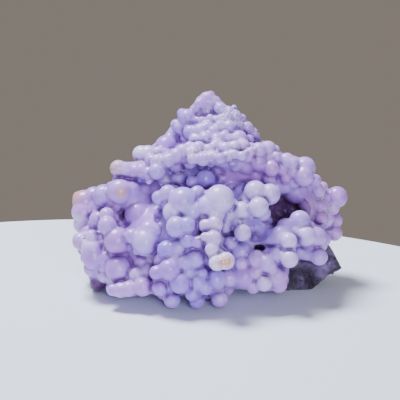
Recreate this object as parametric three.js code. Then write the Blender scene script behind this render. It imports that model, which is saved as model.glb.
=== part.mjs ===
// Botryoidal chalcedony: one hand specimen of purple balls grown together on a dark broken base.
// Millimetres, +Z up, +X to the right, -Y to the front. The specimen rests on z = 0.
import * as THREE from "three";

// Driving dimensions
const cell = 2.5; // spacing of the lattice that carries the surface
const creaseSharpness = 7; // per millimetre: higher leaves deeper creases between balls
const coreSharpness = 0.8; // the same between the cores, which run into each other softly
const stemReach = 0.35; // a stem runs this share of the way from its ball to the nearest core
const stemShare = 0.66; // radius of a stem as a share of its ball
const bridgeNear = 0.55; // two balls whose middles are this many of their two radii apart, or more,
const bridgeFar = 1.2; // up to this many, have a smaller ball between them, a bridge
const bridgeShare = 0.74; // its radius as a share of the smaller ball's
const bridgeBack = 0.5; // how far it stands back from the eye, as a share of its radius
const middle = { x: 0, y: 2.6 }; // the middle of the specimen's width and depth, moved to the origin

// The front view that places the grown balls: a distant eye, a little above the specimen.
const viewTilt = THREE.MathUtils.degToRad(18);
const viewDistance = 600;
const viewCentre = { across: -3.33, up: 30 };

// Balls grown on the specimen, each as across, up, radius and toward:
// its place and size as the front view shows them, and how far its centre stands toward the eye.
const crownTip = [
    [-1, 63.6, 2.6, 6], [-3, 62.8, 1.9, 6], [1.6, 62.6, 2.2, 6], [0.2, 65, 1.5, 5],
    [3.6, 61.6, 1.3, 6], [-4.2, 61.6, 1.4, 5], [0.4, 61.4, 2, 6],
];
const crownFace = [
    [3.5, 60.3, 2.3, 8], [6, 59, 2.4, 8], [8, 60.7, 1.1, 5], [8.3, 58, 2.2, 8], [5, 57, 2.2, 9],
    [0, 57.3, 1.4, 9], [1.8, 56.8, 1.2, 9.5], [3.1, 57, 1.4, 9.5], [-1.5, 58.5, 2.5, 4.5],
    [-3.7, 58, 2, 4.5], [10.6, 57.2, 1.6, 5], [-1, 59.6, 2.2, 6],
];
const crownLeft = [
    [-9.3, 58.8, 1.8, 5], [-7.6, 57.5, 2.9, 6], [-5.6, 60.6, 1.1, 5], [-11.5, 55.3, 1.7, 4],
    [-9.8, 54, 2.3, 5], [-12.3, 52.6, 1.8, 3], [-4.6, 56.4, 1.6, 7], [-7.6, 54.6, 1.4, 7],
];
const crownRow = [
    [-6.5, 52.6, 2.5, 9], [-3.2, 53, 2.6, 10], [-0.8, 54.3, 2.2, 10], [1.2, 52.6, 2.2, 11],
    [3.5, 54.6, 2.1, 10], [6.4, 54.2, 2.4, 10], [9.1, 55.2, 2.2, 8], [12.2, 53.9, 2.4, 5],
    [14.2, 52.4, 1.9, 3], [15.4, 51.4, 1.3, 1], [9.6, 50.4, 2.9, 11], [13, 50.2, 1.7, 8],
    [4.8, 51.6, 1.6, 12], [2.3, 50, 2.5, 12], [-1.5, 50.3, 2.6, 12], [-5, 50, 2.2, 11],
    [6.3, 50, 2.2, 12],
];
const leftBlock = [
    [-14.5, 47.8, 3.9, 4], [-13, 51, 2.2, 3], [-11, 49.5, 2.5, 2],
];
const upperFinger = [
    [-23, 45.3, 2.9, 7], [-20.6, 45.3, 3, 8], [-17, 46.2, 1.8, 8],
];
const lowerFinger = [
    [-30.6, 40.6, 2.8, 10], [-28.2, 40, 2.6, 10], [-25.6, 39.6, 2.5, 10], [-22.7, 39.7, 2.7, 11],
    [-20.3, 38.8, 2.3, 12],
];
const lip = [
    [-17.6, 39.6, 2.9, 17], [-17.4, 42.8, 2.6, 16], [-14, 43.2, 2.5, 17], [-11.2, 44.8, 2.4, 17],
    [-9, 46.3, 2.4, 17], [-6.8, 47.8, 1.8, 16], [-6.3, 45.7, 2, 18], [-5.9, 43.7, 1.9, 19],
    [-3.8, 47.5, 2.2, 17], [-2.4, 43.7, 2.5, 19], [-0.3, 46.6, 2.2, 17], [3.3, 43.9, 1.9, 21],
    [2.3, 48, 2.5, 15], [5, 47, 2.4, 17], [8, 45.3, 1.6, 19], [10.6, 44.6, 1.7, 19],
    [8.2, 47.8, 2.1, 16], [11, 48, 2.4, 14], [13.4, 46.1, 1.6, 17], [16.2, 46.6, 2.7, 14],
    [19.3, 47, 2.8, 12], [21.4, 46.5, 2, 9], [22.2, 44.5, 1.7, 14], [25.6, 43.2, 2.6, 13],
    [27.6, 42.3, 2, 14], [31.5, 40.7, 3.8, 11], [31.2, 38, 3.4, 13], [5.8, 44.6, 1.9, 18.5],
    [1, 44.4, 2.1, 19], [12.4, 44.3, 1.9, 16],
];
const lipUnderside = [
    [16, 42.5, 3, 14], [20.4, 40.6, 2.8, 14], [24, 40.5, 2.4, 12], [25.2, 37.5, 1.9, 12],
    [12, 41.5, 3, 12], [10.8, 38.5, 2.6, 9], [7, 40, 2.5, 9], [15, 38.5, 2.8, 9],
    [20, 37.3, 2.5, 10], [27.6, 39.6, 2.2, 13],
];
const recessWall = [
    [-1.5, 37, 3.2, 14], [-6, 36, 2.1, 14], [-10.5, 37, 2.6, 8], [3, 37.5, 2.8, 6],
    [-15, 36.5, 2.6, 6], [-6.5, 39.5, 3, 3], [-1.5, 41, 3, 4], [2.5, 41, 2.6, 5],
    [-12, 40.5, 3, 3], [-16.5, 39, 3, 3],
];
const leftPillar = [
    [-42, 29.5, 3.9, 2], [-42.3, 26, 3.9, 3], [-42.3, 22, 3.3, 2], [-44, 31.2, 1.7, 2],
    [-38.7, 31.2, 3.3, 3], [-39, 26.6, 3.2, 3], [-39, 22, 2.2, 5],
];
const leftUpper = [
    [-35.3, 31.4, 3.9, 8], [-30, 32.8, 4.4, 11], [-26.3, 33.3, 3.4, 10], [-22.6, 32.7, 3.3, 7],
    [-34.4, 25, 2.6, 13], [-34.3, 21.4, 3.2, 15], [-29.5, 21.3, 2.2, 9], [-24, 25, 4.6, 10],
    [-26.5, 29, 3, 9], [-31.5, 28.6, 2.6, 9],
];
const leftLower = [
    [-43, 16.3, 3, 8], [-39.4, 18, 2.2, 12], [-39, 13.5, 4.1, 11], [-38.6, 10.6, 4, 11],
    [-39.3, 7.3, 2.9, 6], [-37.4, 2.3, 2.8, 2], [-31, 16.4, 4.6, 15], [-30.4, 7, 4.5, 15],
    [-34.6, 10.5, 3, 12], [-34.8, 5, 2.8, 9],
];
const bearHead = [
    [-21.5, 16, 4.8, 19], [-20.3, 20, 3.3, 19], [-26, 18, 2.6, 19], [-22.8, 9.4, 3, 15],
    [-19.5, 9.5, 2.3, 15], [-24.6, 5, 2.6, 18], [-22.4, 1.1, 3.3, 20], [-20.8, 6, 3, 17],
    [-18.6, 19.8, 2.4, 19.5], [-24.6, 12.8, 1.2, 18.5],
];
const lowFinger = [
    [-32.4, 0, 2.1, 18], [-29.8, 0, 2.7, 18.5], [-27, 0.4, 2.8, 19],
];
const centreUpper = [
    [-17.1, 30.8, 2.4, 19], [-14, 32.2, 2.9, 20], [-9, 29.5, 4.9, 22], [-4.2, 32.3, 2.6, 20],
    [-12.3, 26, 3.5, 22], [-6, 26, 3.8, 23], [3, 30.5, 4.6, 23], [5, 29.3, 2.7, 26],
    [-1, 28, 3.5, 24], [2, 25.5, 3, 25], [-11, 21, 3.7, 25], [-7.5, 21.5, 3.2, 25],
];
const centreLower = [
    [-14.4, 13.3, 3.3, 23], [-10.6, 14.2, 2.9, 24], [-7.4, 16.5, 2.6, 26], [-4, 16, 2.3, 26],
    [-5, 10.4, 3.1, 25], [-8.7, 9.3, 2.6, 25], [-13.5, 6.8, 3.7, 25], [-17.8, 5.8, 2.5, 24],
    [-3, 5.4, 2.3, 24], [-16.6, 0.6, 2.7, 23], [-10, 2.3, 3.6, 25], [-6, -1.4, 2.4, 24],
    [-4, 2.5, 2.5, 25], [-1.5, 0.8, 2.6, 24], [2, 3.5, 3.5, 22], [-12.7, -3.2, 2.9, 20],
    [-7, 6, 2.4, 24.5], [-11.6, 10.6, 2.2, 24],
];
const tendril = [
    [-1.5, 21.4, 2.3, 28], [1.6, 22, 2.7, 28], [-1.8, 17.8, 1.4, 31], [1.1, 17.2, 2.8, 30],
    [0.7, 13.6, 2.4, 31], [2.3, 9.1, 2.8, 32], [5.3, 9.7, 3, 32],
];
const frontFeet = [
    [-4.3, -3.6, 2.7, 19.8], [3.2, -3, 3, 18.9],
];
const rightUpper = [
    [10.2, 32.7, 2.3, 14], [10, 27.5, 2.8, 20.5], [10, 24.6, 2.7, 19.5], [15.2, 33, 3.1, 19.5],
    [19.6, 31.9, 3.8, 18.5], [16.2, 27.6, 3.4, 22.5], [17.8, 25.5, 2.6, 17],
    [10.9, 19.1, 2.9, 24], [6, 25, 3, 20], [5, 21.5, 2.7, 20], [6.7, 15.8, 2.5, 19],
    [10.5, 12.7, 3.3, 21],
];
const rightMiddle = [
    [16.8, 21, 3.2, 12], [17.8, 17.5, 2.8, 11], [19.3, 13, 1.7, 14], [15.5, 10.3, 3.1, 21],
    [19, 8.8, 3.2, 22], [22.3, 11.7, 2.9, 21], [26.5, 10.3, 3, 24], [26.2, 16.3, 2.9, 23],
    [23.7, 18, 3.8, 19], [25.1, 21, 3, 17], [29.9, 23, 3.6, 16], [32, 17.9, 3.4, 18],
    [35.3, 17.6, 3.6, 15], [36.4, 11, 2.9, 16], [30.2, 12.7, 2.1, 14], [33.3, 13.3, 2.2, 14],
    [28.4, 19.4, 2, 18],
];
const rightLower = [
    [11.5, 4.3, 4, 20], [14.4, 1.1, 2.4, 20], [18, 2.2, 2.8, 22], [22.4, 4.5, 3.7, 20],
    [23, 1.8, 2.8, 19], [6.5, 4, 3, 20], [15.3, 6, 2.6, 21], [10.6, 8.8, 2.4, 21],
];
const rightWall = [
    [28.5, 32.8, 4, 5], [32.5, 29, 3.2, 3], [36.5, 28, 2.5, 3], [37, 24, 2.3, 4],
    [36, 33, 2.5, 4], [35, 36.5, 2.2, 6], [37.6, 34.4, 1.8, 2], [42.3, 31, 3.6, -2],
    [40.8, 27.5, 2.5, -1], [42, 23.3, 2.3, -6], [41.5, 19, 2.7, -6], [38, 31, 3, -2],
    [38, 24, 3.5, -4],
];
const grownRows = [
  crownTip, crownFace, crownLeft, crownRow, leftBlock, upperFinger, lowerFinger, lip,
  lipUnderside, recessWall, leftPillar, leftUpper, leftLower, bearHead, lowFinger, centreUpper,
  centreLower, tendril, frontFeet, rightUpper, rightMiddle, rightLower, rightWall,
].flat();

// Rounded cores under the balls, in the front view's directions: the middle and the half-widths
// across, up and toward the eye, then how many places for cover balls are spread over each core,
// and the radii of its smallest and largest ones.
const cores = [
  { name: "lower body", middle: [-3, 18.4, 1.8], half: [31, 15, 19], places: 170, radii: [2.6, 5] },
  { name: "left body", middle: [-27, 23.4, -0.8], half: [13, 11, 11], places: 70, radii: [2.6, 4.8] },
  { name: "right body", middle: [26, 27.5, -0.5], half: [10, 11, 10], places: 70, radii: [2.4, 4.4] },
  { name: "upper body", middle: [2, 40.8, 0.6], half: [20, 11, 11], places: 120, radii: [2.2, 4.2] },
  { name: "back slope", middle: [0, 30, -6], half: [26, 15, 12], places: 110, radii: [2.4, 4.6] },
  { name: "crown", middle: [0.5, 52, 3], half: [9, 8, 6.5], places: 110, radii: [1.3, 2.4] },
  { name: "upper centre", middle: [-6, 25, 10], half: [11, 9, 12.5], places: 80, radii: [2, 3.8] },
  { name: "lower centre", middle: [-8, 8, 12], half: [11, 10, 11.5], places: 90, radii: [2, 3.8] },
  { name: "left upper mass", middle: [-33, 28, 0], half: [10, 6, 8], places: 60, radii: [2, 3.6] },
  { name: "left lower mass", middle: [-34.5, 12, 2], half: [8, 9.5, 9], places: 60, radii: [2, 3.8] },
  { name: "two-eared mass", middle: [-22.5, 12, 8], half: [6, 8.5, 8.5], places: 50, radii: [2, 3.4] },
  { name: "low left mass", middle: [-27, 4.5, 8], half: [8, 4.8, 9.5], places: 50, radii: [2, 3.2] },
  { name: "low right mass", middle: [12, 5, 9], half: [12.5, 4.8, 10], places: 70, radii: [2, 3.4] },
  { name: "right centre", middle: [11, 24, 6], half: [8.5, 10, 10.5], places: 70, radii: [1.8, 3.4] },
  { name: "bridge by the cave", middle: [29, 16.5, 7.5], half: [8.5, 4.6, 8], places: 50, radii: [1.8, 3] },
  { name: "lip", middle: [4, 43, 6], half: [26, 3.8, 9.5], places: 150, radii: [1.3, 2.6] },
  { name: "right shoulder", middle: [24.5, 38.5, 3], half: [8, 4.6, 8], places: 60, radii: [1.6, 2.8] },
  { name: "right wall", middle: [34.5, 28, -4], half: [6.5, 6.5, 7], places: 50, radii: [1.6, 2.8] },
];

// Hollows between the growths, shaped like the cores, with the same places and radii for the balls
// that line their walls.
const hollows = [
  { name: "dark cave at the right", middle: [26.3, 26.4, 12], half: [8, 5.8, 18], places: 50, radii: [1.3, 2] },
  { name: "left side of the cave", middle: [21.6, 23.6, 13], half: [2.2, 3.8, 12], places: 20, radii: [1.2, 2] },
  { name: "hole in the left mass", middle: [-29.2, 24, 14], half: [2.8, 3.9, 14], places: 24, radii: [1.2, 1.8] },
  { name: "groove under the lip", middle: [-7, 38.6, 17], half: [13.5, 4, 12], places: 60, radii: [1.4, 2.6] },
  { name: "slit beside the left mass", middle: [-17.4, 26, 17], half: [2, 3.4, 10], places: 20, radii: [1.2, 1.8] },
  { name: "hole under the right balls", middle: [16.6, 14.1, 16], half: [2.7, 1.7, 12], places: 0, radii: [1, 1] },
  { name: "recess by the bright ball", middle: [15.6, 19.4, 21], half: [4, 4.2, 8], places: 20, radii: [1.2, 2] },
  { name: "hole beside the hanging finger", middle: [6.2, 18.7, 22], half: [2.1, 1.5, 7], places: 0, radii: [1, 1] },
];

// The outline that the front view shows, as across and up. Cover balls keep inside it.
const outline = [
  [-37, 1], [-41, 6], [-43.5, 12], [-45, 16], [-44.3, 20], [-45.5, 26], [-45.5, 32], [-40, 33],
  [-35, 35.3], [-31, 36.5], [-24, 41], [-18, 48.5], [-13.5, 52], [-10.5, 59.5], [-5, 61.5],
  [-1, 65.5], [2, 63.8], [5, 61], [9, 60], [11, 56], [14.5, 53.5], [17, 49.7], [22, 48],
  [24, 45.5], [28, 44], [32, 43.8], [35, 40.5], [35.7, 37], [39, 34.5], [44, 33], [45.5, 30],
  [43.5, 26], [44, 19], [41.5, 16.5], [38.5, 13], [33, 8.5], [26, 8], [26, 2], [24, -0.5],
  [8, 0.5], [6, -3], [-8, -3], [-13, -5.5], [-17, -2], [-24, -1.8], [-33, -1.5],
];

// Broken pieces with flat faces: the middle in the front view, then each face's direction across,
// up and toward the eye, and its distance from the middle.
const brokenPieces = [
  {
    name: "smooth chunk at the peak",
    middle: [-1.2, 62.6, 6],
    faces: [
      [-0.56, 0.83, 0, 2.2], [0.885, 0.465, 0, 2.98], [-1, 0, 0, 3.9], [0, -1, 0, 1.8],
      [0, 0.3, 0.95, 2.5], [0, -0.6, 0.8, 2.4], [0, 0, -1, 3],
    ],
  },
  {
    name: "dark broken base",
    middle: [33, 8, -3],
    faces: [
      [0.87, 0.49, 0, 9.2], [0.55, -0.83, 0, 6.65], [-1, 0, 0, 14], [0, 1, 0, 9],
      [0.1, -0.3, 0.95, 5], [0, 0, -1, 11], [0.6, -0.2, 0.77, 7.5], [0.5, 0.1, -0.86, 8],
    ],
  },
  {
    name: "broken underside",
    middle: [6, 4, -8],
    faces: [
      [-0.85, -0.5, 0.1, 14], [0.8, -0.6, 0, 24], [0, 1, 0, 6], [0.05, -0.5, 0.86, 8],
      [0.25, -0.2, -0.95, 9], [-0.5, -0.2, -0.84, 11],
    ],
  },
];

// The front view's directions in the specimen's own frame.
const acrossWay = new THREE.Vector3(1, 0, 0);
const upWay = new THREE.Vector3(0, Math.sin(viewTilt), Math.cos(viewTilt));
const towardWay = new THREE.Vector3(0, -Math.cos(viewTilt), Math.sin(viewTilt));

// What stands nearer the eye looks larger, so its real size and place shrink toward the view's centre.
function shrinkAt(toward) {
  return 1 - toward / viewDistance;
}

function fromView(across, up, toward) {
  const shrink = shrinkAt(toward);
  const place = new THREE.Vector3();
  place.addScaledVector(acrossWay, viewCentre.across + (across - viewCentre.across) * shrink);
  place.addScaledVector(upWay, viewCentre.up + (up - viewCentre.up) * shrink);
  place.addScaledVector(towardWay, toward);
  return place;
}

function grownBall([across, up, radius, toward]) {
  return { centre: fromView(across, up, toward), radius: radius * shrinkAt(toward) };
}

// A point's place from the middle of a shape, along across, up and toward.
const offset = new THREE.Vector3();
function inView(point, shape) {
  offset.subVectors(point, shape.place);
  return [offset.dot(acrossWay), offset.dot(upWay), offset.dot(towardWay)];
}

// How far a point lies from a core's middle, as a share of the core's size: 1 is its surface.
function shareOfCore(point, core) {
  return Math.hypot(...inView(point, core).map((along, way) => along / core.half[way]));
}

function coreDistance(point, core) {
  const along = inView(point, core);
  const [halfAcross, halfUp, halfToward] = core.half;
  const share = Math.hypot(along[0] / halfAcross, along[1] / halfUp, along[2] / halfToward);
  const slope = Math.hypot(along[0] / halfAcross ** 2, along[1] / halfUp ** 2, along[2] / halfToward ** 2);
  return slope === 0 ? -Math.min(...core.half) : (share * (share - 1)) / slope;
}

function ballDistance(point, ball) {
  return point.distanceTo(ball.centre) - ball.radius;
}

// A stem carries its ball: a straight limb from the ball toward the middle of the nearest core.
function stemOf(ball) {
  const nearest = cores.reduce((best, core) =>
    shareOfCore(ball.centre, core) < shareOfCore(ball.centre, best) ? core : best);
  return {
    limb: new THREE.Line3(ball.centre, ball.centre.clone().lerp(nearest.place, stemReach)),
    radius: ball.radius * stemShare,
  };
}

// Bridges: smaller balls that close the gaps between a ball and the earlier ones beside it, a
// little behind them.
function bridgesOf(ball, index, balls) {
  const beside = balls.slice(0, index).filter((other) => {
    const apart = ball.centre.distanceTo(other.centre) / (ball.radius + other.radius);
    return apart > bridgeNear && apart < bridgeFar;
  });
  return beside.map((other) => {
    const radius = Math.min(ball.radius, other.radius) * bridgeShare;
    const between = ball.centre.clone().lerp(other.centre, 0.5);
    return { centre: between.addScaledVector(towardWay, -radius * bridgeBack), radius };
  });
}

const nearestOnLimb = new THREE.Vector3();
function stemDistance(point, stem) {
  stem.limb.closestPointToPoint(point, true, nearestOnLimb);
  return point.distanceTo(nearestOnLimb) - stem.radius;
}

function brokenDistance(point, piece) {
  const [across, up, toward] = inView(point, piece);
  let farthest = -Infinity;
  for (const [faceAcross, faceUp, faceToward, distance] of piece.faces) {
    farthest = Math.max(farthest, across * faceAcross + up * faceUp + toward * faceToward - distance);
  }
  return farthest;
}

for (const shape of [...cores, ...hollows, ...brokenPieces]) {
  shape.place = fromView(...shape.middle);
}
const grownBalls = grownRows.map(grownBall);
const stems = grownBalls.map(stemOf);
const bridgeBalls = grownBalls.flatMap(bridgesOf);

// How far inside the outline a point stands in the front view, negative beyond it.
function roomInside(point) {
  const shrink = shrinkAt(point.dot(towardWay));
  const seen = new THREE.Vector3(
    viewCentre.across + (point.dot(acrossWay) - viewCentre.across) / shrink,
    viewCentre.up + (point.dot(upWay) - viewCentre.up) / shrink,
  );
  const nearest = new THREE.Vector3();
  let room = Infinity;
  let inside = false;
  outline.forEach((corner, index) => {
    const start = new THREE.Vector3(...corner);
    const end = new THREE.Vector3(...outline[(index + 1) % outline.length]);
    new THREE.Line3(start, end).closestPointToPoint(seen, true, nearest);
    room = Math.min(room, seen.distanceTo(nearest));
    if (start.y > seen.y !== end.y > seen.y) {
      const crossing = start.x + ((end.x - start.x) * (seen.y - start.y)) / (end.y - start.y);
      inside = crossing > seen.x ? !inside : inside;
    }
  });
  return inside ? room : -room;
}

// Places spread evenly over a core on a spiral, each with its way out and its ball's radius.
const goldenTurn = Math.PI * (3 - Math.sqrt(5));
const coverDepth = 1.04; // the balls' middles lie this share of the way out to the core's surface

function spiralPlace(core, place) {
  const level = 1 - (2 * (place + 0.5)) / core.places;
  const ring = Math.sqrt(1 - level * level);
  const turn = place * goldenTurn;
  const [halfAcross, halfUp, halfToward] = core.half;
  const out = new THREE.Vector3();
  out.addScaledVector(acrossWay, coverDepth * halfAcross * ring * Math.cos(turn));
  out.addScaledVector(upWay, coverDepth * halfUp * level);
  out.addScaledVector(towardWay, coverDepth * halfToward * ring * Math.sin(turn));
  const [smallest, largest] = core.radii;
  return {
    centre: core.place.clone().add(out),
    outward: out.normalize(),
    radius: smallest + (largest - smallest) * ((place * Math.SQRT2) % 1),
  };
}

// Cover balls fill a core's surface between the grown ones. A place is left free inside another
// core, in a hollow, on a grown ball, too near the ground or at the edge of the outline.
const outlineRoom = 0.85; // a ball's middle stands at least this share of its radius inside the outline
const smallestShare = 0.6; // a ball is left out where it would shrink below this share of the smallest
const hollowRoom = 0.6; // a ball's middle stays this share of its radius clear of the hollows
const grownRoom = 0.4; // the same for the grown balls
const groundRoom = 0.8; // the lowest ball middle, as a share of the ball's radius
const budEvery = 3; // every third place at the back carries a second ball, a bud, on the first
const budSide = 0.25; // how far to the back, from -1 to 1, a place must face to carry one
const budStep = 0.9; // how far out a bud's middle stands, as a share of the radius below it
const budShare = 0.75; // a bud's radius as a share of the radius below it

function coverBallsOf(core) {
  const balls = [];
  for (let place = 0; place < core.places; place += 1) {
    const { centre, outward, radius: whole } = spiralPlace(core, place);
    const radius = Math.min(whole, roomInside(centre) / outlineRoom);
    const tooSmall = radius < core.radii[0] * smallestShare;
    const buried = cores.some((other) => other !== core && shareOfCore(centre, other) < 1);
    const inHollow = hollows.some((hollow) => coreDistance(centre, hollow) < radius * hollowRoom);
    const onGrown = grownBalls.some((grown) => ballDistance(centre, grown) < radius * grownRoom);
    const onGround = centre.z < radius * groundRoom;
    if (!tooSmall && !buried && !inHollow && !onGrown && !onGround) {
      balls.push({ centre, radius });
      const bud = { centre: centre.clone().addScaledVector(outward, radius * budStep), radius: radius * budShare };
      if (place % budEvery === 0 && outward.y > budSide && roomInside(bud.centre) > bud.radius) {
        balls.push(bud);
      }
    }
  }
  return balls;
}

const coverBalls = cores.flatMap(coverBallsOf);

// Joins shapes at a point with softly filled creases, given their distances from it.
function softJoin(distances, sharpness = creaseSharpness) {
  const nearest = Math.min(...distances);
  let sum = 0;
  for (const distance of distances) {
    sum += Math.exp(sharpness * (nearest - distance));
  }
  return nearest - Math.log(sum) / sharpness;
}

// Distance to the cores with the stems that carry the grown balls.
function bodyDistance(point) {
  const core = softJoin(cores.map((each) => coreDistance(point, each)), coreSharpness);
  return softJoin([core, ...stems.map((stem) => stemDistance(point, stem))]);
}

// Lining balls lie on the walls of the hollows, wherever the body reaches around them.
const liningDepth = 0.6; // a lining ball lies at least this share of its radius inside the body

function liningBallsOf(hollow) {
  const balls = [];
  for (let place = 0; place < hollow.places; place += 1) {
    const { centre, radius } = spiralPlace(hollow, place);
    const inAnother = hollows.some((other) => other !== hollow && shareOfCore(centre, other) < 1);
    if (-bodyDistance(centre) > radius * liningDepth && !inAnother && centre.z > radius) {
      balls.push({ centre, radius });
    }
  }
  return balls;
}

const liningBalls = hollows.flatMap(liningBallsOf);

// Distance from a point to the specimen's surface, negative inside it.
function specimenDistance(point) {
  const covered = softJoin([
    bodyDistance(point),
    ...bridgeBalls.map((ball) => ballDistance(point, ball)),
    ...coverBalls.map((ball) => ballDistance(point, ball)),
  ]);
  const hollow = Math.min(...hollows.map((space) => coreDistance(point, space)));
  return softJoin([
    Math.max(covered, -hollow),
    ...grownBalls.map((ball) => ballDistance(point, ball)),
    ...liningBalls.map((ball) => ballDistance(point, ball)),
    ...brokenPieces.map((piece) => brokenDistance(point, piece)),
  ]);
}

// The surface is a net with one point in every lattice cell that it crosses. Its lowest layer of
// cells straddles z = 0, so every point there lies on z = 0 and the specimen stands on flat faces.
const reach = 6; // clear space kept round the balls
const box = new THREE.Box3();
for (const ball of [...grownBalls, ...coverBalls]) {
  box.expandByPoint(ball.centre);
}
box.expandByScalar(reach);
const low = new THREE.Vector3(box.min.x, box.min.y, -cell / 2);
const counts = [
  Math.ceil((box.max.x - low.x) / cell) + 1,
  Math.ceil((box.max.y - low.y) / cell) + 1,
  Math.ceil((box.max.z - low.z) / cell) + 1,
];
const strides = [1, counts[0], counts[0] * counts[1]];
const values = new Float64Array(counts[0] * counts[1] * counts[2]);

function nodeIndex(i, j, k) {
  return i * strides[0] + j * strides[1] + k * strides[2];
}

function nodePlace(i, j, k) {
  return new THREE.Vector3(low.x + i * cell, low.y + j * cell, low.z + k * cell);
}

function eachNode(visit, shortBy = 0) {
  for (let k = 0; k < counts[2] - shortBy; k += 1) {
    for (let j = 0; j < counts[1] - shortBy; j += 1) {
      for (let i = 0; i < counts[0] - shortBy; i += 1) {
        visit(i, j, k);
      }
    }
  }
}

eachNode((i, j, k) => {
  const belowGround = k === 0;
  values[nodeIndex(i, j, k)] = belowGround ? cell / 2 : specimenDistance(nodePlace(i, j, k));
});

// The eight corners of a cell, and the twelve pairs of corners that its edges join.
const corners = [0, 1, 2, 3, 4, 5, 6, 7].map((corner) => [corner & 1, (corner >> 1) & 1, (corner >> 2) & 1]);
const cornerPairs = [];
for (let first = 0; first < 8; first += 1) {
  for (const bit of [1, 2, 4]) {
    if ((first & bit) === 0) {
      cornerPairs.push([first, first | bit]);
    }
  }
}

// Whether the chosen corners hang together along the cell's edges.
function hangTogether(chosen) {
  const start = chosen.indexOf(true);
  const reached = new Set([start]);
  for (let round = 0; round < 7; round += 1) {
    for (const [first, second] of cornerPairs) {
      if (chosen[first] && chosen[second] && (reached.has(first) || reached.has(second))) {
        reached.add(first);
        reached.add(second);
      }
    }
  }
  return start < 0 || reached.size === chosen.filter(Boolean).length;
}

const slight = cell / 10; // the distance given to a lattice corner that changes sides

// Where two sheets of the surface would meet in one cell, its nearest outside corner is filled.
function fillMeetingSheets() {
  let filled = 0;
  eachNode((i, j, k) => {
    const nodes = corners.map(([di, dj, dk]) => nodeIndex(i + di, j + dj, k + dk));
    const inside = nodes.map((node) => values[node] < 0);
    while (!hangTogether(inside) || !hangTogether(inside.map((isInside) => !isInside))) {
      let nearest = inside.indexOf(false);
      inside.forEach((isInside, corner) => {
        if (!isInside && values[nodes[corner]] < values[nodes[nearest]]) {
          nearest = corner;
        }
      });
      values[nodes[nearest]] = -slight;
      inside[nearest] = true;
      filled += 1;
    }
  }, 1);
  return filled;
}

// Marks every node that a walk from one node reaches without crossing the surface.
function reachFrom(start) {
  const inside = values[start] < 0;
  const reached = new Uint8Array(values.length);
  const open = [start];
  reached[start] = 1;
  while (open.length > 0) {
    const node = open.pop();
    const i = node % counts[0];
    const j = Math.floor(node / strides[1]) % counts[1];
    const k = Math.floor(node / strides[2]);
    [i, j, k].forEach((step, axis) => {
      for (const way of [-1, 1]) {
        const next = node + way * strides[axis];
        const onLattice = step + way >= 0 && step + way < counts[axis];
        if (onLattice && !reached[next] && values[next] < 0 === inside) {
          reached[next] = 1;
          open.push(next);
        }
      }
    });
  }
  return reached;
}

// Leaves one body: loose crumbs are cleared, and pockets sealed inside are filled.
function keepOneBody() {
  const { x, y, z } = cores[0].place;
  const heart = nodeIndex(...[x - low.x, y - low.y, z - low.z].map((along) => Math.round(along / cell)));
  const body = reachFrom(heart);
  const air = reachFrom(0);
  values.forEach((value, node) => {
    if (value < 0 && !body[node]) {
      values[node] = slight;
    }
    if (value >= 0 && !air[node]) {
      values[node] = -slight;
    }
  });
}

keepOneBody();
while (fillMeetingSheets() > 0) {
  keepOneBody();
}

// The middle of a cell's crossings, moved out to the surface but kept inside its cell.
const probe = 0.05; // how far apart the distances that give the slope are taken
const longestStep = 0.25; // the farthest move, as a share of a cell
const cellMargin = 0.1; // the point stays this share of a cell inside it
function pointInCell(i, j, k) {
  const point = new THREE.Vector3();
  let crossings = 0;
  for (const [first, second] of cornerPairs) {
    const [a, b] = [first, second].map((corner) => corners[corner]);
    const [valueA, valueB] = [a, b].map(([di, dj, dk]) => values[nodeIndex(i + di, j + dj, k + dk)]);
    if (valueA < 0 !== valueB < 0) {
      const share = valueA / (valueA - valueB);
      point.add(nodePlace(i + a[0], j + a[1], k + a[2]).lerp(nodePlace(i + b[0], j + b[1], k + b[2]), share));
      crossings += 1;
    }
  }
  point.divideScalar(crossings);
  const distance = specimenDistance(point);
  const slope = new THREE.Vector3(
    specimenDistance(point.clone().setX(point.x + probe)) - distance,
    specimenDistance(point.clone().setY(point.y + probe)) - distance,
    specimenDistance(point.clone().setZ(point.z + probe)) - distance,
  ).divideScalar(probe);
  const step = THREE.MathUtils.clamp(-distance, -cell * longestStep, cell * longestStep);
  point.addScaledVector(slope, step);
  const margin = cell * cellMargin;
  point.clamp(nodePlace(i, j, k).addScalar(margin), nodePlace(i + 1, j + 1, k + 1).subScalar(margin));
  if (k === 0) {
    point.z = 0;
  }
  return point;
}

function surfaceNet() {
  const points = [];
  const faces = [];
  const pointOfCell = new Int32Array(values.length).fill(-1);
  eachNode((i, j, k) => {
    const inside = corners.filter(([di, dj, dk]) => values[nodeIndex(i + di, j + dj, k + dk)] < 0);
    if (inside.length > 0 && inside.length < 8) {
      pointOfCell[nodeIndex(i, j, k)] = points.length;
      points.push(pointInCell(i, j, k));
    }
  }, 1);
  // Each lattice edge that the surface crosses joins the points of the four cells round it.
  eachNode((i, j, k) => {
    for (let axis = 0; axis < 3; axis += 1) {
      const node = nodeIndex(i, j, k);
      const next = node + strides[axis];
      if (values[node] < 0 !== values[next] < 0) {
        const sideways = strides[(axis + 1) % 3];
        const onward = strides[(axis + 2) % 3];
        const round = [node - sideways - onward, node - onward, node, node - sideways];
        const four = round.map((corner) => pointOfCell[corner]);
        if (values[node] >= 0) {
          four.reverse();
        }
        const [a, b, c, d] = four;
        const straight = points[a].distanceTo(points[c]) <= points[b].distanceTo(points[d]);
        faces.push(...(straight ? [a, b, c, a, c, d] : [b, c, d, b, d, a]));
      }
    }
  }, 1);
  const geometry = new THREE.BufferGeometry().setFromPoints(points);
  geometry.setIndex(faces);
  geometry.translate(-middle.x, -middle.y, 0);
  geometry.computeVertexNormals();
  return geometry;
}

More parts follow.
